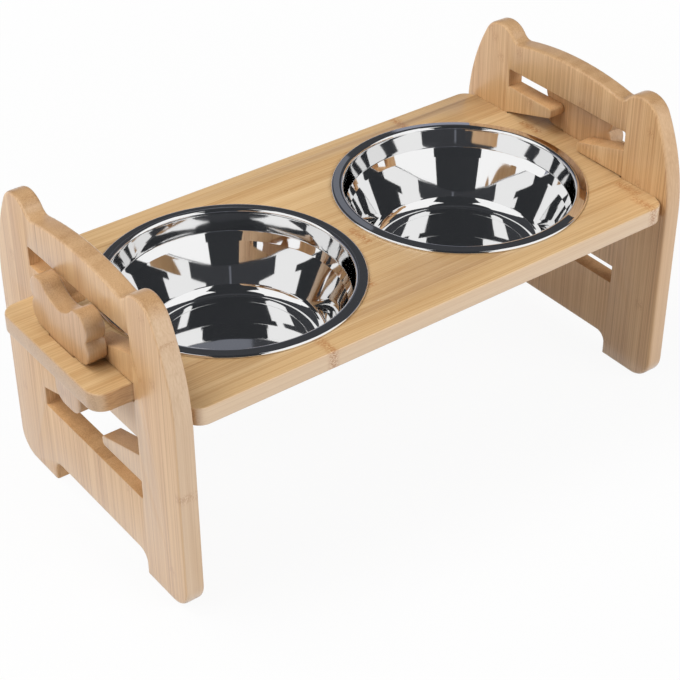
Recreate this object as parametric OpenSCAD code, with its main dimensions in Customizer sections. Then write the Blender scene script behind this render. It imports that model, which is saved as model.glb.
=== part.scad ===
// Raised feeder stand: two eared side panels, a bowl board with through tongues,
// two bone-shaped locking keys and two pressed steel bowls. Millimetres, X along the
// board, Y from front to rear, Z up, origin on the floor in the middle.

/* [Bowls] */
// Outer diameter of the flat rim
rim_d = 160; // [148:1:172]
// Width of the flat rim
rim_w = 7.6; // [6.4:0.2:9]
// Height of the rim above its lip's edge
rim_h = 1.8; // [1.6:0.1:3]
// Radius of the bend from the band to the rim
rim_bend_r = 2.2; // [1.6:0.1:3]
// Radius of the lip turned down at the rim's edge
rim_lip_r = 1.4; // [1.3:0.1:1.6]
// Depth of the bowl below the rim
bowl_h = 48; // [42:1:56]
// Height of the upright band under the rim
band_h = 12.6; // [9:0.2:16]
// Radius lost over the height of the band
band_in = 1.6; // [0.4:0.1:2.4]
// Height of the sloping ledge under the band
ledge_h = 5.6; // [3:0.2:7]
// Radius lost over the height of the ledge
ledge_in = 2.8; // [2:0.2:5]
// Lean of the wall below the ledge in degrees
wall_lean = 23; // [12:1:32]
// Radius between the wall and the flat ring that the bowl stands on
floor_corner_r = 9; // [5:0.5:16]
// Width of the flat ring round the raised floor
floor_ring_w = 4; // [2:0.5:10]
// Rise of the floor inside the ring
floor_rise = 0.8; // [0.4:0.1:1.4]
// Thickness of the sheet steel
sheet_t = 0.8; // [0.6:0.1:1.2]
// Clearance of the bowl in its hole
hole_gap = 0.6; // [0.4:0.1:1.5]
// Clearance of the rim above the board
rim_gap = 0.3; // [0.2:0.05:0.6]

/* [Bowl board] */
// Thickness of the bowl board
board_t = 12; // [9:0.5:16]
// Board in front of the rims and behind them
board_margin = 14.5; // [8:0.5:24]
// Distance between the rims of the two bowls
rim_spacing = 12; // [6:0.5:40]
// Distance from a rim to the nearer side panel
rim_margin = 7; // [4:0.5:30]
// Radius of the board's corners in plan
board_corner_r = 10; // [3:0.5:16]
// Clearance between the board's shoulders and the panels
shoulder_gap = 0.2; // [0.1:0.05:0.5]
// Stroke that holds the board, counted from the lowest
board_level = 2; // [0:1:3]

/* [Tongues] */
// Width of each tongue from front to rear
tongue_w = 106; // [90:1:120]
// Length of tongue beyond the slot for the key
tongue_end_wall = 10.4; // [6:0.2:20]
// Radius of the tongue's outer corners in plan
tongue_corner_r = 10; // [3:0.5:16]

/* [Locking keys] */
// Thickness of the keys
key_t = 12; // [9:0.5:16]
// Radius of the four knobs of the bone
knob_r = 9.7; // [8.5:0.1:11]
// Distance of the knobs from the middle of the key
knob_y = 21; // [19:0.5:28]
// Height difference between upper and lower knobs
knob_rise = 13.4; // [9:0.2:16]
// Drop from the top of the knobs to the waist between them
waist_drop = 9.2; // [4:0.2:12]
// Width of the stem
stem_w = 27; // [18:0.5:36]
// Length of stem below the board
stem_below = 31.5; // [16:0.5:36]
// Radius of the stem's lower corners
stem_corner_r = 9.5; // [2:0.5:12]
// Clearance of a key in its slot, off the panel and off the board
key_gap = 0.3; // [0.2:0.05:0.6]

/* [Z openings] */
// Slope of the tilted setting in degrees
tilt = 16.4; // [14:0.2:19]
// Height of the blunt tips between the strokes
tip_h = 6.5; // [5:0.5:9]
// Radius of the corners of the tips
tip_r = 2.4; // [0.5:0.1:2.8]
// Play of the tongue under the upper edge of a stroke
stroke_play = 0.6; // [0.3:0.1:1.5]
// Play of the tongue at each end of a stroke
stroke_end_play = 1; // [0.4:0.1:2]
// Height of the bridge between the two openings
bridge_h = 23.6; // [16:0.2:30]

/* [Side panels] */
// Thickness of the side panels
panel_t = 12; // [9:0.5:18]
// How far a panel stands proud of the board's front and rear
panel_proud = 0.5; // [0:0.5:8]
// Width of the arch between the feet
arch_w = 104; // [70:1:124]
// Height of the arch
arch_h = 15.2; // [10:0.2:26]
// Radius of the arch's corners
arch_r = 6.5; // [2:0.5:9]
// Radius of the outer corners of the feet
foot_corner_r = 16; // [4:0.5:24]
// Height of wood between the arch and the lower opening
foot_web = 42.3; // [30:0.1:56]
// Height of wood between the upper opening and the crown
crown_web = 25.6; // [18:0.2:40]
// Radius of the crowned top edge
crown_r = 215; // [170:1:300]
// Rise of the ears above the crown
ear_rise = 3.4; // [2:0.1:7]
// Radius of the ear tips
ear_r = 16; // [11:0.5:19]
// Radius of the hollow beside each ear
hollow_r = 7.2; // [4:0.2:12]
// Height where the sides start to lean in
shoulder_z = 126; // [110:1:140]
// Radius of the leaning sides
side_r = 132; // [115:1:180]

/* [Hidden] */
$fn = 96;
through = 1;

// Spacing along the board
bowl_x = (rim_d + rim_spacing) / 2;
panel_in = rim_d + rim_spacing / 2 + rim_margin;
panel_out = panel_in + panel_t;
slot_l = key_t + 2 * key_gap;
tongue_end = panel_out + slot_l + tongue_end_wall;
board_d = rim_d + 2 * board_margin;
panel_d = board_d + 2 * panel_proud;

// Openings: two level strokes joined by a sloping one of the same height
stroke_h = board_t + stroke_play;
half_stroke = tongue_w / 2 + stroke_end_play;
tip_y = (stroke_h / cos(tilt) + tip_h) / tan(tilt) - half_stroke;
tip_under = tip_r * (1 - sin(tilt)) / cos(tilt);
stroke_rise = stroke_h + tip_h + (half_stroke - tip_y) * tan(tilt);
opening_h = stroke_rise + stroke_h;
lower_z = arch_h + foot_web;
upper_z = lower_z + opening_h + bridge_h;
level_z = [lower_z, lower_z + stroke_rise, upper_z, upper_z + stroke_rise];
board_z = level_z[board_level];
board_top = board_z + board_t;

// Circles of a panel's top edge, each tangent to its neighbours
crown_top = upper_z + opening_h + crown_web;
crown_z = crown_top - crown_r;
ear_z = crown_top + ear_rise - ear_r;
side_y = panel_d / 2 - side_r;
ear_y = side_y + sqrt(pow(side_r - ear_r, 2) - pow(ear_z - shoulder_z, 2));
ear_dist = norm([ear_y, ear_z - crown_z]);
hollow_dist = crown_r + hollow_r;
ear_turn = atan2(ear_z - crown_z, ear_y);
hollow_step = pow(hollow_dist, 2) + pow(ear_dist, 2) - pow(ear_r + hollow_r, 2);
hollow_turn = ear_turn + acos(hollow_step / (2 * hollow_dist * ear_dist));
hollow_y = hollow_dist * cos(hollow_turn);
hollow_z = crown_z + hollow_dist * sin(hollow_turn);
crown_end_y = crown_r * cos(hollow_turn);
crown_end_z = crown_z + crown_r * sin(hollow_turn);

// Bone key, heights above the board
upper_knob_z = knob_r + knob_rise;
waist_r = (pow(knob_y, 2) + pow(knob_r - waist_drop, 2) - pow(knob_r, 2)) / (2 * waist_drop);
waist_mid_z = upper_knob_z + knob_r - waist_drop + waist_r;
stem_l = board_t + stem_below;
stem_r = min(stem_corner_r, 0.45 * stem_w);

// Bowl, heights below the foot of the rim
rim_r = rim_d / 2;
band_r = rim_r - rim_w;
bend_z = rim_h - rim_bend_r;
lip_z = rim_h - rim_lip_r;
hole_r = band_r + sheet_t + hole_gap;
ledge_r = band_r - band_in - ledge_in;
ledge_z = -band_h - ledge_h;
corner_z = floor_corner_r - bowl_h;
wall_end_z = corner_z - floor_corner_r * sin(wall_lean);
floor_r = ledge_r - (ledge_z - wall_end_z) * tan(wall_lean) - floor_corner_r * cos(wall_lean);
wall_foot_r = ledge_r - (ledge_z + bowl_h) * tan(wall_lean);
ring_r = floor_r - floor_ring_w;
raised_r = ring_r - floor_rise;

bamboo = [0.82, 0.66, 0.46];
steel = [0.75, 0.76, 0.78];

// Upright plate from an outline in the Y-Z plane, growing from x towards +X
module upright_plate(x, thickness) {
    translate([x, 0, 0])
        rotate([90, 0, 90])
            linear_extrude(thickness)
                children();
}

// A shape and its mirror image, front and rear
module front_and_rear() {
    children();
    mirror([1, 0])
        children();
}

// Rectangle with round corners, centred
module rounded_rectangle(w, d, r) {
    square([w - 2 * r, d], center = true);
    square([w, d - 2 * r], center = true);
    for (x = [-1, 1], y = [-1, 1])
        translate([x * (w / 2 - r), y * (d / 2 - r)])
            circle(r);
}

// Lower block of a panel with round foot corners
module foot_block() {
    translate([-panel_d / 2, foot_corner_r])
        square([panel_d, shoulder_z - foot_corner_r]);
    translate([foot_corner_r - panel_d / 2, 0])
        square([panel_d - 2 * foot_corner_r, shoulder_z]);
    for (side = [-1, 1])
        translate([side * (panel_d / 2 - foot_corner_r), foot_corner_r])
            circle(foot_corner_r);
}

// Leaning side of a panel: a sector of the side circle that ends at the ear
module leaning_side() {
    intersection() {
        translate([side_y, shoulder_z])
            circle(side_r);
        polygon([
            [side_y, shoulder_z],
            [side_y + 2 * side_r, shoulder_z],
            [side_y + 2 * (ear_y - side_y), shoulder_z + 2 * (ear_z - shoulder_z)]
        ]);
    }
}

// Ear with the wood below it and the hollow beside it
module ear() {
    translate([ear_y, ear_z])
        circle(ear_r);
    difference() {
        polygon([
            [crown_end_y, shoulder_z],
            [ear_y, shoulder_z],
            [ear_y, ear_z],
            [hollow_y, hollow_z],
            [crown_end_y, crown_end_z]
        ]);
        translate([hollow_y, hollow_z])
            circle(hollow_r);
    }
}

// Crowned middle of the top edge
module crown() {
    intersection() {
        translate([0, crown_z])
            circle(crown_r);
        translate([-crown_end_y, shoulder_z])
            square([2 * crown_end_y, crown_top - shoulder_z]);
    }
}

// Arch between the feet, open below
module arch() {
    translate([-arch_w / 2, -through])
        square([arch_w, arch_h - arch_r + through]);
    translate([arch_r - arch_w / 2, -through])
        square([arch_w - 2 * arch_r, arch_h + through]);
    for (side = [-1, 1])
        translate([side * (arch_w / 2 - arch_r), arch_h - arch_r])
            circle(arch_r);
}

// Rear tab between the strokes: level above, sloping below, blunt round tip
module stroke_tab() {
    low_z = stroke_rise - tip_h + tip_under;
    polygon([
        [half_stroke + through, stroke_h - through * tan(tilt)],
        [tip_y + tip_r - tip_r * sin(tilt), low_z - tip_r * cos(tilt)],
        [tip_y, low_z],
        [tip_y, stroke_rise - tip_r],
        [tip_y + tip_r, stroke_rise],
        [half_stroke + through, stroke_rise]
    ]);
    for (z = [low_z, stroke_rise - tip_r])
        translate([tip_y + tip_r, z])
            circle(tip_r);
}

// Z opening: the tongue fits level at the foot, level at the top, or tilted between
module z_opening() {
    difference() {
        translate([0, opening_h / 2])
            rounded_rectangle(2 * half_stroke, opening_h, stroke_end_play);
        stroke_tab();
        translate([0, opening_h])
            rotate(180)
                stroke_tab();
    }
}

// Outline of a side panel, front edge at the negative first coordinate
module panel_outline() {
    difference() {
        union() {
            foot_block();
            front_and_rear() {
                leaning_side();
                ear();
            }
            crown();
        }
        arch();
        for (z = [lower_z, upper_z])
            translate([0, z])
                z_opening();
    }
}

module left_side_panel() {
    color(bamboo)
        upright_plate(-panel_out, panel_t)
            panel_outline();
}

module right_side_panel() {
    color(bamboo)
        upright_plate(panel_in, panel_t)
            panel_outline();
}

// Board with a tongue at each end, two bowl holes and a key slot in each tongue
module bowl_board() {
    color(bamboo)
        translate([0, 0, board_z])
            linear_extrude(board_t)
                difference() {
                    union() {
                        rounded_rectangle(2 * (panel_in - shoulder_gap), board_d, board_corner_r);
                        rounded_rectangle(2 * tongue_end, tongue_w, tongue_corner_r);
                    }
                    for (side = [-1, 1]) {
                        translate([side * bowl_x, 0])
                            circle(hole_r);
                        translate([side * (panel_out + slot_l / 2), 0])
                            square([slot_l, stem_w + 2 * key_gap], center = true);
                    }
                }
}

// Bone head of a key, standing on zero
module bone() {
    for (side = [-1, 1], z = [knob_r, upper_knob_z])
        translate([side * knob_y, z])
            circle(knob_r);
    difference() {
        polygon([
            [-knob_y, 0],
            [knob_y, 0],
            [knob_y, upper_knob_z],
            [0, waist_mid_z],
            [-knob_y, upper_knob_z]
        ]);
        translate([0, waist_mid_z])
            circle(waist_r);
    }
}

// Stem of a key, hanging from zero
module stem() {
    translate([-stem_w / 2, stem_r - stem_l])
        square([stem_w, stem_l - stem_r + knob_r]);
    translate([stem_r - stem_w / 2, -stem_l])
        square([stem_w - 2 * stem_r, stem_l]);
    for (side = [-1, 1])
        translate([side * (stem_w / 2 - stem_r), stem_r - stem_l])
            circle(stem_r);
}

module locking_key(x) {
    color(bamboo)
        translate([0, 0, board_top + key_gap])
            upright_plate(x, key_t) {
                bone();
                stem();
            }
}

module left_locking_key() {
    locking_key(-panel_out - key_gap - key_t);
}

module right_locking_key() {
    locking_key(panel_out + key_gap);
}

// Waste outside the round corner between a bowl's wall and floor
module floor_corner_waste(r) {
    translate([floor_r, corner_z])
        difference() {
            polygon([
                [0, 0],
                2 * r * [cos(wall_lean), -sin(wall_lean)],
                2 * r * [1, -1],
                2 * r * [0, -1]
            ]);
            circle(r);
        }
}

// Half section of a bowl's inside, up to the top of the rim
module bowl_inside() {
    difference() {
        polygon([
            [0, rim_h + through],
            [band_r, rim_h + through],
            [band_r, bend_z],
            [band_r - band_in, -band_h],
            [ledge_r, ledge_z],
            [wall_foot_r, -bowl_h],
            [ring_r, -bowl_h],
            [raised_r, floor_rise - bowl_h],
            [0, floor_rise - bowl_h]
        ]);
        floor_corner_waste(floor_corner_r);
    }
}

// Waste outside a round edge of the rim, in the first quadrant before it is turned
module rim_edge_waste(r) {
    difference() {
        square(r + through);
        circle(r);
    }
}

// Hollow under the flat rim, between the bend and the lip
module rim_hollow() {
    flat_w = rim_w - rim_bend_r - rim_lip_r;
    translate([band_r + rim_bend_r, bend_z])
        circle(rim_bend_r - sheet_t);
    translate([band_r + rim_bend_r, -rim_bend_r])
        square([flat_w, rim_bend_r + rim_h - sheet_t]);
    translate([rim_r - rim_lip_r, lip_z])
        circle(rim_lip_r - sheet_t);
    translate([rim_r - rim_lip_r, -rim_bend_r])
        square([rim_lip_r - sheet_t, rim_bend_r + lip_z]);
}

// Half section of a bowl: sheet steel round the inside, with a flat rim and a turned-down lip
module bowl_section() {
    sheet_lean = sheet_t / cos(wall_lean);
    difference() {
        polygon([
            [0, rim_h],
            [rim_r, rim_h],
            [rim_r, 0],
            [rim_r - sheet_t, 0],
            [band_r + sheet_t, bend_z],
            [band_r - band_in + sheet_t, -band_h],
            [ledge_r + sheet_lean, ledge_z],
            [wall_foot_r + sheet_lean - sheet_t * tan(wall_lean), -bowl_h - sheet_t],
            [ring_r, -bowl_h - sheet_t],
            [raised_r, floor_rise - bowl_h - sheet_t],
            [0, floor_rise - bowl_h - sheet_t]
        ]);
        bowl_inside();
        floor_corner_waste(floor_corner_r + sheet_t);
        rim_hollow();
        translate([band_r + rim_bend_r, bend_z])
            rotate(90)
                rim_edge_waste(rim_bend_r);
        translate([rim_r - rim_lip_r, lip_z])
            rim_edge_waste(rim_lip_r);
    }
}

module bowl(x) {
    color(steel)
        translate([x, 0, board_top + rim_gap])
            rotate_extrude()
                bowl_section();
}

module left_bowl() {
    bowl(-bowl_x);
}

module right_bowl() {
    bowl(bowl_x);
}

left_side_panel();
right_side_panel();
bowl_board();
left_locking_key();
right_locking_key();
left_bowl();
right_bowl();
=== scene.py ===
"""Raised feeder stand: bamboo panels, bowl board and locking keys with polished steel bowls."""
import math

import bpy
from mathutils import Matrix, Vector


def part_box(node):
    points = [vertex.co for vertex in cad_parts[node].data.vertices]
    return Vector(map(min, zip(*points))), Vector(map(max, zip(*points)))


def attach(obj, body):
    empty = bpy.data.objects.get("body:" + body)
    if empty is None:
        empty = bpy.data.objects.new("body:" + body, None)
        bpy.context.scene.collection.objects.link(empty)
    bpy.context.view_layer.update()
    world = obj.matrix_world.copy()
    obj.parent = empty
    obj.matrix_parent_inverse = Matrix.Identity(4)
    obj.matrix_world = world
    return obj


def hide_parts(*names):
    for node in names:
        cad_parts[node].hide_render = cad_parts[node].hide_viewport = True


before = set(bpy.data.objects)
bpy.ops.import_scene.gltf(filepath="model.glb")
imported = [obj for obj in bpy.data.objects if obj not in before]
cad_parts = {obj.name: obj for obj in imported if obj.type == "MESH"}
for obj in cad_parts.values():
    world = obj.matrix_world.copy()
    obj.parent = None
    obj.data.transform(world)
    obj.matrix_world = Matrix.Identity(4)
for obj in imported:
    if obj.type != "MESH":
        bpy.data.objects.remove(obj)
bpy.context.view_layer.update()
MM = 0.001

# Sizes of the stand that the finishing needs, in millimetres
PANEL_IN = 173.0
PANEL_OUT = 185.0
STROKE_END = 54.0
OPENINGS = ((57.5, 101.35), (124.95, 168.8))
SLOT_REACH = 13.0
SLOT_HALF = 14.5
BOWL_X = 86.0
HOLE_R = 73.8
LIP_FOOT = 137.25

# Radius in millimetres and steps of each rounded or eased edge
PANEL_ROUND = (2.0, 5)
BOARD_ROUND = (1.3, 4)
KEY_ROUND = (1.0, 3)
CUT_EASE = (0.5, 2)
SHOULDER_EASE = (0.3, 2)

# Viewpoint of the photo, in metres and degrees
CAMERA = (-0.5469, -0.7228, 0.7016)
PAN = -36.739
TILT_DOWN = 35.482
ROLL = -0.292
LENS = 93.97

WHITE = (1.0, 1.0, 1.0, 1.0)


class Tone:
    """A value on its way through a finish's nodes."""

    def __init__(self, finish, socket):
        self.finish = finish
        self.socket = socket

    def math(self, operation, a, b=0.0, clamp=False):
        return self.finish.add("ShaderNodeMath", {"operation": operation, "use_clamp": clamp}, {0: a, 1: b})

    def __add__(self, other):
        return self.math("ADD", self, other)

    __radd__ = __add__

    def __sub__(self, other):
        return self.math("SUBTRACT", self, other)

    def __rsub__(self, other):
        return self.math("SUBTRACT", other, self)

    def __mul__(self, other):
        return self.math("MULTIPLY", self, other)

    __rmul__ = __mul__

    def __truediv__(self, other):
        return self.math("DIVIDE", self, other)

    def __rtruediv__(self, other):
        return self.math("DIVIDE", other, self)

    def __abs__(self):
        return self.math("ABSOLUTE", self)

    def floor(self):
        return self.math("FLOOR", self)

    def sine(self):
        return self.math("SINE", self)

    def clamped(self):
        return self.math("ADD", self, 0.0, True)

    def max(self, other):
        return self.math("MAXIMUM", self, other)

    def step(self, low, high):
        """0 below low, 1 above high, smooth between."""
        return self.finish.add("ShaderNodeMapRange", {"interpolation_type": "SMOOTHSTEP"},
                               {"Value": self, "From Min": low, "From Max": high})


class Finish:
    """A material, or the world, and the nodes that make it."""

    def __init__(self, owner, shader="Principled BSDF"):
        owner.use_nodes = True
        self.owner = owner
        self.tree = owner.node_tree
        self.shader = self.tree.nodes[shader]

    def feed(self, socket, value):
        if isinstance(value, Tone):
            self.tree.links.new(value.socket, socket)
        else:
            socket.default_value = value

    def add(self, kind, settings=None, inputs=None, output=0):
        node = self.tree.nodes.new(kind)
        for key, value in (settings or {}).items():
            if key == "stops":
                ramp = node.color_ramp
                while len(ramp.elements) < len(value):
                    ramp.elements.new(0.5)
                for element, (place, colour) in zip(ramp.elements, value):
                    element.position = place
                    element.color = colour
            else:
                setattr(node, key, value)
        for key, value in (inputs or {}).items():
            self.feed(node.inputs[key], value)
        return Tone(self, node.outputs[output])

    def mix(self, share, a, b):
        """Colour a turned towards colour b; the numbers are the Mix node's sockets for colours."""
        return self.add("ShaderNodeMix", {"data_type": "RGBA"}, {0: share, 6: a, 7: b}, 2)

    def in_view(self):
        """1 where the camera, a reflection or glass shows it, 0 where it lights the object."""
        seen = self.add("ShaderNodeLightPath", output="Is Camera Ray")
        for ray in ("Is Glossy Ray", "Is Transmission Ray"):
            seen = seen.max(self.add("ShaderNodeLightPath", output=ray))
        return seen

    def set(self, **values):
        for key, value in values.items():
            self.feed(self.shader.inputs[key.replace("_", " ")], value)
        return self.owner


def new_finish(name):
    return Finish(bpy.data.materials.new(name))


def srgb(r, g, b):
    """A colour given as 0 to 255 screen values."""
    def linear(c):
        return c / 12.92 if c <= 0.04045 else ((c + 0.055) / 1.055) ** 2.4

    return tuple(linear(c / 255) for c in (r, g, b)) + (1.0,)


def shades(*colours):
    """Screen colours of one surface, from pale to deep."""
    return [srgb(*colour) for colour in colours]


# Bamboo colours of broad faces, long edges, cross-cut ends and the walls of sawn openings; the colour of
# those walls is partly painted light and shade
PANEL_FACE = shades((223, 184, 137), (208, 167, 118), (188, 142, 94), (152, 107, 66))
KEY_FACE = shades((208, 168, 124), (193, 151, 106), (174, 129, 85), (141, 98, 60))
BOARD_FACE = shades((218, 186, 141), (203, 169, 122), (185, 146, 98), (151, 110, 69))
# The long edges' colours are paler and pinker than the faces: painted sheen over the edge grain's own tone,
# most on the board and the left panel, least on the right panel
LEFT_EDGE_AND_SHEEN = shades((226, 199, 168), (215, 183, 148), (200, 165, 128), (172, 133, 94))
RIGHT_EDGE = shades((219, 184, 143), (207, 168, 124), (192, 150, 106), (164, 121, 80))
BOARD_EDGE_AND_SHEEN = shades((229, 204, 172), (220, 191, 157), (206, 173, 136), (176, 139, 101))
END = shades((200, 165, 125), (186, 149, 108), (166, 127, 86), (140, 101, 65))
# Walls of sawn openings: the sawn wood's own colour together with painted light and shade in the openings
# and on the tongue's sides
SAWN_LIGHT_AND_SHADE = shades((220, 179, 131), (206, 162, 113), (184, 138, 90), (154, 110, 68))
NODE_BROWN = srgb(166, 108, 58)

# Where the pale to deep colours stand on the scale of depth
DEPTHS = (0.0, 0.36, 0.68, 1.0)

# How strongly each marking shows
PANEL_FIGURE = {"lines": 0.90, "streaks": 0.46, "strips": 0.14, "hairlines": 0.24, "nodes": 0.45}
BOARD_FIGURE = {"lines": 0.60, "streaks": 0.58, "strips": 0.24, "hairlines": 0.22, "nodes": 0.85}

# Millimetres: widths of the glued strips, distance between nodes, and how far sawn walls go along the grain
PANEL_STRIP = 6.0
BOARD_STRIP = 19.0
NODE_SPACING = 244.0
PANEL_SAWN_TO = 171.0
BOARD_SAWN_TO = 203.0


def bamboo(name, axes, strip_width, colours, figure, seed, sawn_to=None):
    """Laminated bamboo under satin lacquer: glued strips, fibre lines, soft streaks and node marks.

    axes names the width, thickness and grain directions; colours holds those of face, edge and end; figure
    says how strongly each marking shows. Where sawn_to is given, the walls of cuts near the middle, up to
    there along the grain, have little lacquer and a browner colour than the long edges, which is partly
    painted light and shade in the openings and on the tongue's sides.
    """
    wood = new_finish(name)
    place = wood.add("ShaderNodeTexCoord", output="Object")
    turned = wood.add("ShaderNodeTexCoord", output="Normal")

    def along_axis(vector, axis):
        return wood.add("ShaderNodeSeparateXYZ", None, {0: vector}, axis)

    width, thick, grain = [along_axis(place, axis) * 1000.0 for axis in axes]
    flatwise, endwise = [abs(along_axis(turned, axis)) for axis in axes[1:]]

    def fibres(across, along, detail, shift):
        """Noise drawn out along the grain; across and along are its sizes in millimetres."""
        where = wood.add("ShaderNodeCombineXYZ", None,
                         {0: width / across + shift, 1: thick / across, 2: grain / along})
        return wood.add("ShaderNodeTexNoise", None,
                        {"Vector": where, "Scale": 1.0, "Detail": detail, "Roughness": 0.55})

    lines = fibres(0.9, 320.0, 2.0, seed)
    hairs = fibres(0.5, 45.0, 2.0, seed + 3.0)
    streaks = fibres(6.0, 190.0, 3.0, seed + 5.0)
    pores = fibres(0.65, 6.0, 1.0, seed + 11.0)
    ragged = fibres(0.8, 1.7, 2.0, seed + 17.0)
    crests = fibres(1.8, 240.0, 1.0, seed + 23.0)
    hairlines = (1.0 - abs(crests - 0.5) * 10.0).clamped() * (0.6 + pores * 0.8)

    # Strips side by side, each with its own tone and its own places for the nodes
    lane = width / strip_width + (streaks - 0.5) * 0.10 + seed
    strip = lane.floor()
    strip_tone = wood.add("ShaderNodeTexWhiteNoise", {"noise_dimensions": "1D"}, {"W": strip + seed})
    seam = 1.0 - (0.5 - abs(lane - strip - 0.5)).step(0.0, 0.6 / strip_width)
    reach = grain / NODE_SPACING - (strip * 13.03 + 1.3).sine() * 57.0 - 0.24
    node_gap = abs(reach - reach.floor() - 0.5) * NODE_SPACING + (ragged - 0.5) * 6.0
    node_mark = (1.0 - node_gap.step(0.8, 5.6)) * ragged.step(0.42, 0.58)

    depth = (lines - 0.5) * figure["lines"] + (hairs - 0.5) * 0.30 + (streaks - 0.5) * figure["streaks"]
    depth = depth + (strip_tone - 0.5) * figure["strips"] + seam * 0.08
    depth = depth + hairlines * figure["hairlines"] + 0.36
    end_depth = (pores - 0.5) * 0.95 + (streaks - 0.5) * 0.4 + (strip_tone - 0.5) * 0.2 + 0.42

    def stained(depth, pale_to_deep):
        stops = list(zip(DEPTHS, pale_to_deep))
        return wood.add("ShaderNodeValToRGB", {"stops": stops}, {0: depth.clamped()})

    face, edge, end = colours
    broad = flatwise.step(0.55, 0.95)
    cross_cut = endwise.step(0.30, 0.85)
    whole = wood.mix(broad, stained(depth * 0.6 + 0.15, edge), stained(depth, face))
    whole = wood.mix(node_mark * figure["nodes"], whole, NODE_BROWN)
    whole = wood.mix(cross_cut, whole, stained(end_depth, end))
    roughness = 0.40 + hairs * 0.14
    lacquer = 0.85
    if sawn_to is not None:
        near_middle = 1.0 - abs(width).step(56.0, 58.5)
        short_of_ends = 1.0 - abs(grain).step(sawn_to - 4.0, sawn_to + 4.0)
        sawn_wall_light_and_shade = near_middle * short_of_ends * (1.0 - broad)
        # Painted light and shade: the walls of the cuts take their own colour
        whole = wood.mix(sawn_wall_light_and_shade, whole, stained(end_depth, SAWN_LIGHT_AND_SHADE))
        roughness = roughness + sawn_wall_light_and_shade * 0.22
        lacquer = lacquer - sawn_wall_light_and_shade * 0.75
    relief = wood.add("ShaderNodeBump", None,
                      {"Strength": 0.08, "Distance": 0.0003, "Height": lines * 0.6 - pores * 0.4})
    return wood.set(Base_Color=whole, Roughness=roughness, Normal=relief, Specular_IOR_Level=0.9,
                    Coat_Weight=lacquer, Coat_Roughness=0.28)


def polished_steel():
    """Pressed and mirror-polished stainless sheet."""
    steel = new_finish("polished_steel")
    place = steel.add("ShaderNodeTexCoord", output="Object")
    waves = steel.add("ShaderNodeTexNoise", None, {"Vector": place, "Scale": 26.0, "Detail": 1.0})
    haze = steel.add("ShaderNodeTexNoise", None, {"Vector": place, "Scale": 90.0, "Detail": 3.0})
    relief = steel.add("ShaderNodeBump", None, {"Strength": 0.10, "Distance": 0.002, "Height": waves})
    return steel.set(Base_Color=srgb(242, 242, 242), Metallic=1.0, Roughness=0.022 + haze * 0.03,
                     Normal=relief)


def deselect_all():
    if bpy.context.mode != "OBJECT":
        bpy.ops.object.mode_set(mode="OBJECT")
    bpy.ops.object.select_all(action="DESELECT")


def pick_only(piece):
    deselect_all()
    piece.select_set(True)
    bpy.context.view_layer.objects.active = piece


def start_edit(piece):
    pick_only(piece)
    bpy.ops.object.mode_set(mode="EDIT")
    bpy.ops.mesh.select_all(action="DESELECT")


def pick_nothing(mesh):
    for part in (mesh.polygons, mesh.edges, mesh.vertices):
        for item in part:
            item.select = False


def round_edges(piece, rounding, chosen):
    """Rounds over the sharp edges whose middle point, in millimetres, is chosen."""
    radius, steps = rounding
    pick_only(piece)
    mesh = piece.data
    normals_at = {}
    for face in mesh.polygons:
        for key in face.edge_keys:
            normals_at.setdefault(key, []).append(face.normal)
    pick_nothing(mesh)
    for edge in mesh.edges:
        normals = normals_at.get(tuple(sorted(edge.vertices)), [])
        sharp = len(normals) == 2 and normals[0].dot(normals[1]) < 0.5
        start, end = [mesh.vertices[i].co for i in edge.vertices]
        edge.select = sharp and chosen((start + end) / (2 * MM), normals)
    bpy.ops.object.mode_set(mode="EDIT")
    bpy.ops.mesh.select_mode(type="EDGE")
    bpy.ops.mesh.bevel(offset=radius * MM, segments=steps, profile=0.5, affect="EDGES", clamp_overlap=False)
    bpy.ops.object.mode_set(mode="OBJECT")


def sawn_board(node, name, body, finish):
    """A copy of a sawn board with its loose triangles merged into whole faces."""
    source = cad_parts[node]
    piece = source.copy()
    piece.data = source.data.copy()
    for key in list(piece.keys()):
        del piece[key]
    piece.name = name
    piece.data.name = name
    piece.parent = None
    bpy.context.scene.collection.objects.link(piece)
    start_edit(piece)
    bpy.ops.mesh.select_all(action="SELECT")
    bpy.ops.mesh.remove_doubles(threshold=0.000002)
    bpy.ops.mesh.dissolve_limited(angle_limit=math.radians(0.3))
    bpy.ops.object.mode_set(mode="OBJECT")
    piece.data.materials.clear()
    piece.data.materials.append(finish)
    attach(piece, body)
    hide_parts(node)
    return piece


def stay_inside(piece, node):
    """Brings points that a bevel pushed past the board's own box back onto it."""
    low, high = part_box(node)
    for point in piece.data.vertices:
        point.co = [min(max(c, a), b) for c, a, b in zip(point.co, low, high)]


def smooth(piece):
    pick_only(piece)
    bpy.ops.object.shade_smooth_by_angle(angle=math.radians(35))


def flat_to(axis):
    """Picks edges between a broad face square to the axis and a wall."""
    return lambda normals: max(abs(n[axis]) for n in normals) > 0.99


def in_opening(p):
    return abs(p.y) < STROKE_END + 0.2 and any(low - 0.2 < p.z < high + 0.2 for low, high in OPENINGS)


def side_panel(node, name, finish):
    """Eared end panel: outline rounded over, openings only eased."""
    panel = sawn_board(node, name, "stand", finish)
    broad = flat_to(0)
    round_edges(panel, PANEL_ROUND, lambda p, n: broad(n) and not in_opening(p))
    round_edges(panel, CUT_EASE, lambda p, n: broad(n) and in_opening(p))
    stay_inside(panel, node)
    smooth(panel)


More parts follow.
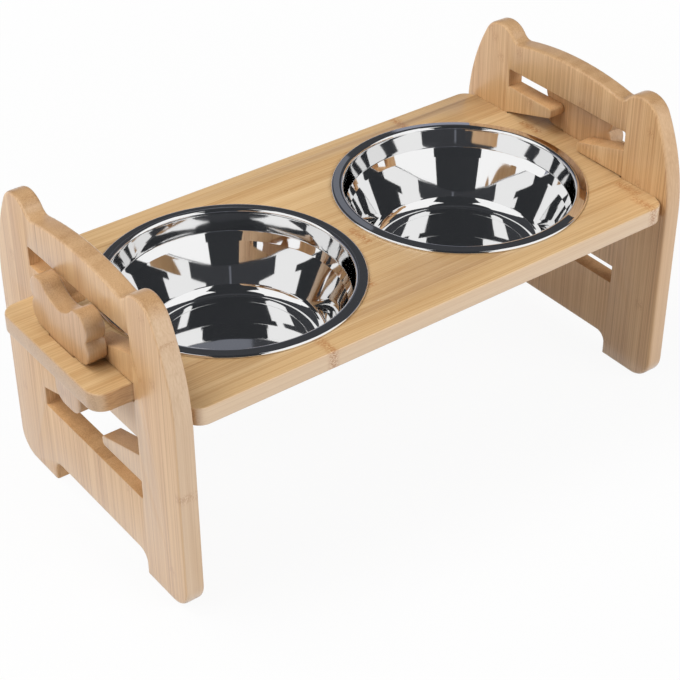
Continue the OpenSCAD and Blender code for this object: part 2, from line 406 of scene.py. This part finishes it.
def bowl_board(finish):
    """Board with tongues: outline rounded over, holes, key slots and shoulders only eased."""
    board = sawn_board("bowl_board", "board_with_tongues", "stand", finish)
    broad = flat_to(2)

    def in_cut(p):
        in_hole = Vector((abs(p.x) - BOWL_X, p.y)).length < HOLE_R + 0.5
        in_slot = PANEL_OUT - 0.5 < abs(p.x) < PANEL_OUT + SLOT_REACH and abs(p.y) < SLOT_HALF
        return in_hole or in_slot

    def at_shoulder(p):
        return abs(abs(p.x) - PANEL_IN) < 0.3

    round_edges(board, BOARD_ROUND, lambda p, n: broad(n) and not in_cut(p) and not at_shoulder(p))
    round_edges(board, CUT_EASE, lambda p, n: broad(n) and in_cut(p))
    round_edges(board, SHOULDER_EASE, lambda p, n: broad(n) and at_shoulder(p))
    stay_inside(board, "bowl_board")
    smooth(board)


def locking_key(node, name, body, finish):
    """Bone key with both faces rounded over."""
    key = sawn_board(node, name, body, finish)
    broad = flat_to(0)
    round_edges(key, KEY_ROUND, lambda p, n: broad(n))
    stay_inside(key, node)
    smooth(key)


def arc(centre, radius, start, end, steps):
    """Points along an arc, angles in degrees."""
    turn = [math.radians(start + (end - start) * i / steps) for i in range(steps + 1)]
    return [(centre[0] + radius * math.cos(a), centre[1] + radius * math.sin(a)) for a in turn]


def bent(points, steps):
    """A line of points with each corner bent round; a point is radius, height and bend radius."""
    margin = 0.25
    line = []
    for i, (r, z, bend) in enumerate(points):
        here = Vector((r, z))
        if not bend:
            line.append((r, z))
            continue
        back = (Vector(points[i - 1][:2]) - here).normalized()
        ahead = (Vector(points[i + 1][:2]) - here).normalized()
        reach = bend / math.tan(back.angle(ahead) / 2)
        start = here + back * reach
        end = here + ahead * reach
        line.append(tuple(start + back * margin))
        for k in range(steps + 1):
            share = k / steps
            line.append(tuple(start.lerp(here, share).lerp(here.lerp(end, share), share)))
        line.append(tuple(end + ahead * margin))
    return line


def bowl_section():
    """The bowl's sheet as radius and height: from the middle of the floor out to the lip, and back below.

    Sizes are in millimetres, with heights from the foot of the lip; lean and droop are in degrees.
    """
    sheet, lean, droop = 0.8, 23.0, 6.0
    floor_z, rise, ring_r, ring_bend = -48.0, 0.8, 45.39, 0.7
    floor_r, corner_z, corner = 49.39, -39.0, 9.0
    ledge_r, ledge_z, ledge_bend = 68.0, -18.2, 1.6
    step_r, step_z, step_bend = 70.8, -12.6, 1.8
    band_r, band_z = 72.4, -1.4
    rim_r, rim_h, bend, lip = 80.0, 1.8, 2.2, 1.38
    level_sheet = sheet / math.cos(math.radians(lean))
    corner_at = (floor_r, corner_z)
    bend_at = (band_r + bend, rim_h - bend)
    lip_at = (rim_r - lip, 0.003)
    fall = math.tan(math.radians(droop))

    raised = floor_z + rise
    floor = [(0.0, raised, 0), (20.0, raised, 0), (40.0, raised, 0), (ring_r - rise, raised, ring_bend),
             (ring_r, floor_z, ring_bend), (floor_r - 0.6, floor_z, 0)]
    inside = bent(floor, 4) + arc(corner_at, corner, -90, -lean, 22)
    wall = [inside[-1] + (0,), (ledge_r, ledge_z, ledge_bend), (step_r, step_z, step_bend),
            (band_r - 0.1, band_z, 0)]
    inside += bent(wall, 5)[1:]
    inside += arc(bend_at, bend, 180, 90 - droop, 13)
    top_r, top_z = inside[-1]
    crown = [(top_r + reach, top_z - reach * fall) for reach in (0.3, 1.4, 2.6, 3.6)]
    inside += crown + arc(lip_at, lip, 90 - droop, 0, 9) + [(rim_r, 0.0)]

    outside = [(rim_r - sheet, 0.0)] + arc(lip_at, lip - sheet, 0, 90 - droop, 5)
    outside += [(r, z - sheet) for r, z in reversed(crown)]
    outside += arc(bend_at, bend - sheet, 90 - droop, 180, 8)
    outer_corner = arc(corner_at, corner + sheet, -lean, -90, 22)
    outer_wall = [(band_r + sheet - 0.1, band_z, 0), (step_r + sheet, step_z, step_bend),
                  (ledge_r + level_sheet, ledge_z, ledge_bend), outer_corner[0] + (0,)]
    outside += bent(outer_wall, 4)[:-1] + outer_corner
    outside += [(r, z - sheet) for r, z in reversed(bent(floor, 3))]
    return inside + outside


def pressed_bowl(node, name, body, x, finish):
    """Pressed bowl turned from its section: floor, corner, wall, ledge, band and flat rim with a lip."""
    section = bowl_section()
    deselect_all()
    bpy.ops.mesh.primitive_plane_add(size=1)
    bowl = bpy.context.active_object
    bowl.name = name
    bowl.data.name = name
    bpy.ops.object.mode_set(mode="EDIT")
    bpy.ops.mesh.delete(type="VERT")
    bpy.ops.object.mode_set(mode="OBJECT")
    bowl.data.vertices.add(len(section))
    bowl.data.edges.add(len(section) - 1)
    for i, (r, z) in enumerate(section):
        bowl.data.vertices[i].co = ((x + r) * MM, 0.0, (LIP_FOOT + z) * MM)
    for i in range(len(section) - 1):
        bowl.data.edges[i].vertices = (i, i + 1)
    start_edit(bowl)
    bpy.ops.mesh.select_all(action="SELECT")
    bpy.ops.mesh.spin(steps=160, angle=math.tau, center=(x * MM, 0.0, 0.0), axis=(0.0, 0.0, 1.0))
    bpy.ops.mesh.select_all(action="SELECT")
    bpy.ops.mesh.remove_doubles(threshold=0.00002)
    bpy.ops.mesh.normals_make_consistent(inside=False)
    bpy.ops.object.mode_set(mode="OBJECT")
    smooth(bowl)
    bowl.data.materials.append(finish)
    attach(bowl, body)
    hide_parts(node)


def studio_floor():
    """White floor that keeps a soft shadow near the stand and fades to plain white further out."""
    near, far = 0.30, 1.0
    plain_share = 0.93
    deselect_all()
    bpy.ops.mesh.primitive_plane_add(size=8)
    floor = bpy.context.active_object
    floor.name = "studio_floor"
    paper = new_finish("white_paper")
    place = paper.add("ShaderNodeTexCoord", output="Object")
    far_off = paper.add("ShaderNodeVectorMath", {"operation": "LENGTH"}, {0: place}, "Value").step(near, far)
    matte = paper.add("ShaderNodeBsdfDiffuse", None, {"Color": (0.68, 0.68, 0.68, 1.0)})
    glow = paper.add("ShaderNodeEmission", None, {"Color": WHITE, "Strength": 1.0})
    plain = paper.in_view() * (plain_share + far_off * (1.0 - plain_share))
    both = paper.add("ShaderNodeMixShader", None, {0: plain, 1: matte, 2: glow})
    paper.tree.nodes.remove(paper.shader)
    paper.feed(paper.tree.nodes["Material Output"].inputs["Surface"], both)
    floor.data.materials.append(paper.owner)


def studio_world(level):
    """White to the camera and in reflections, a plain level on the wood."""
    sky = Finish(bpy.data.worlds.new("white_studio"), "Background")
    bpy.context.scene.world = sky.set(Color=WHITE, Strength=level + sky.in_view() * (1.0 - level))


def softbox(name, place, width, height, watts):
    """A soft lamp that looks at the stand and doesn't show in the steel."""
    middle = Vector((0.0, 0.0, 0.1))
    lamp = bpy.data.lights.new(name, "AREA")
    lamp.shape = "RECTANGLE"
    lamp.size = width
    lamp.size_y = height
    lamp.energy = watts
    box = bpy.data.objects.new(name, lamp)
    bpy.context.scene.collection.objects.link(box)
    box.location = place
    box.rotation_euler = (middle - Vector(place)).to_track_quat("-Z", "Y").to_euler()
    box.visible_glossy = False


def only_reflected(thing, finish_name, own, glow):
    """Makes a thing of the studio that shows in steel and lacquer and nowhere else."""
    finish = new_finish(finish_name)
    thing.data.materials.append(finish.set(Base_Color=own, Roughness=1.0, Emission_Color=glow,
                                           Emission_Strength=1.0))
    thing.visible_camera = False
    thing.visible_diffuse = False
    thing.visible_shadow = False


def shaded_floor():
    """The floor under the stand as the lacquer reflects it: in shade, not lit white."""
    deselect_all()
    bpy.ops.mesh.primitive_plane_add(size=1, location=(0.0, 0.0, 0.0006))
    shade = bpy.context.active_object
    shade.name = "shaded_floor"
    shade.scale = (0.33, 0.30, 1.0)
    only_reflected(shade, "shaded_paper", (0.30, 0.29, 0.28, 1.0), (0.40, 0.36, 0.32, 1.0))


def dark_studio():
    """Dark cloths round the stand that only the steel and lacquer reflect.

    A direction is taken apart into ahead, towards the camera, and across and up. The studio is white in
    front, apart from a dark strip behind the camera and a dark cap overhead. Behind the stand it is dark,
    with a pale strip left of the middle and a paler skirting.
    """
    facing = Vector(CAMERA[:2]).normalized()
    back, skirting, horizon, overhead = -0.15, 0.34, 0.04, 0.955

    def half_strip(up):
        """Half the width of the strip behind the camera, which narrows towards the top."""
        return 0.38 if up < 0.80 else 0.38 - 0.26 * (up - 0.80) / 0.20

    def camera_strip(ahead, across, up):
        return ahead > back and (abs(across) < half_strip(up) or up > overhead)

    def far_left(ahead, across, up):
        return ahead <= back and 0.070 < across < 0.135 and 0.40 < up < 0.67

    def far_wall(ahead, across, up):
        return ahead <= back and up > skirting and not far_left(ahead, across, up)

    def far_skirting(ahead, across, up):
        return ahead <= back and up <= skirting

    for name, zone, glow in (("camera_strip", camera_strip, (0.024, 0.026, 0.029, 1.0)),
                             ("far_wall", far_wall, (0.040, 0.042, 0.047, 1.0)),
                             ("far_left", far_left, (0.15, 0.158, 0.184, 1.0)),
                             ("far_skirting", far_skirting, (0.27, 0.28, 0.34, 1.0))):
        deselect_all()
        bpy.ops.mesh.primitive_uv_sphere_add(segments=180, ring_count=90, radius=3.5)
        cloth = bpy.context.active_object
        cloth.name = name
        pick_nothing(cloth.data)
        for face in cloth.data.polygons:
            x, y, up = face.center.normalized()
            ahead = x * facing.x + y * facing.y
            across = x * facing.y - y * facing.x
            face.select = not (up > horizon and zone(ahead, across, up))
        bpy.context.tool_settings.mesh_select_mode = (False, False, True)
        bpy.ops.object.mode_set(mode="EDIT")
        bpy.ops.mesh.delete(type="FACE")
        bpy.ops.object.mode_set(mode="OBJECT")
        only_reflected(cloth, name + "_cloth", (0.004, 0.004, 0.005, 1.0), glow)


def camera():
    """The photo's own view of the stand."""
    view = bpy.data.cameras.new("photo_view")
    view.sensor_width = 36.0
    view.lens = LENS
    view.clip_end = 50.0
    holder = bpy.data.objects.new("photo_view", view)
    bpy.context.scene.collection.objects.link(holder)
    holder.location = CAMERA
    turn = Matrix.Rotation(math.radians(PAN), 3, "Z")
    turn = turn @ Matrix.Rotation(math.radians(90 - TILT_DOWN), 3, "X")
    turn = turn @ Matrix.Rotation(math.radians(ROLL), 3, "Z")
    holder.rotation_euler = turn.to_euler()
    bpy.context.scene.camera = holder


for side, edge, seed in (("left", LEFT_EDGE_AND_SHEEN, 2.0), ("right", RIGHT_EDGE, 9.0)):
    panel_wood = bamboo(side + "_panel_bamboo", "YXZ", PANEL_STRIP, (PANEL_FACE, edge, END), PANEL_FIGURE,
                        seed, PANEL_SAWN_TO)
    side_panel(side + "_side_panel", side + "_panel", panel_wood)
    # The keys' long edges take the deeper end colour, partly as painted shade
    key_wood = bamboo(side + "_key_bamboo", "YXZ", PANEL_STRIP, (KEY_FACE, END, END), PANEL_FIGURE,
                      seed + 21.0)
    locking_key(side + "_locking_key", side + "_key_bone", side + "_key", key_wood)
bowl_board(bamboo("board_bamboo", "YZX", BOARD_STRIP, (BOARD_FACE, BOARD_EDGE_AND_SHEEN, END), BOARD_FIGURE,
                  5.0, BOARD_SAWN_TO))
steel = polished_steel()
pressed_bowl("left_bowl", "left_bowl_steel", "left_feeding_bowl", -BOWL_X, steel)
pressed_bowl("right_bowl", "right_bowl_steel", "right_feeding_bowl", BOWL_X, steel)

studio_floor()
studio_world(0.28)
softbox("left_softbox", (-2.3, 0.3, 1.9), 1.6, 1.2, 34.5)
softbox("front_softbox", (0.7, -1.6, 1.3), 1.3, 1.0, 23.5)
softbox("top_softbox", (-0.55, 0.55, 1.75), 0.9, 0.9, 20.0)
shaded_floor()
dark_studio()
camera()

bpy.context.scene.view_settings.view_transform = "Standard"
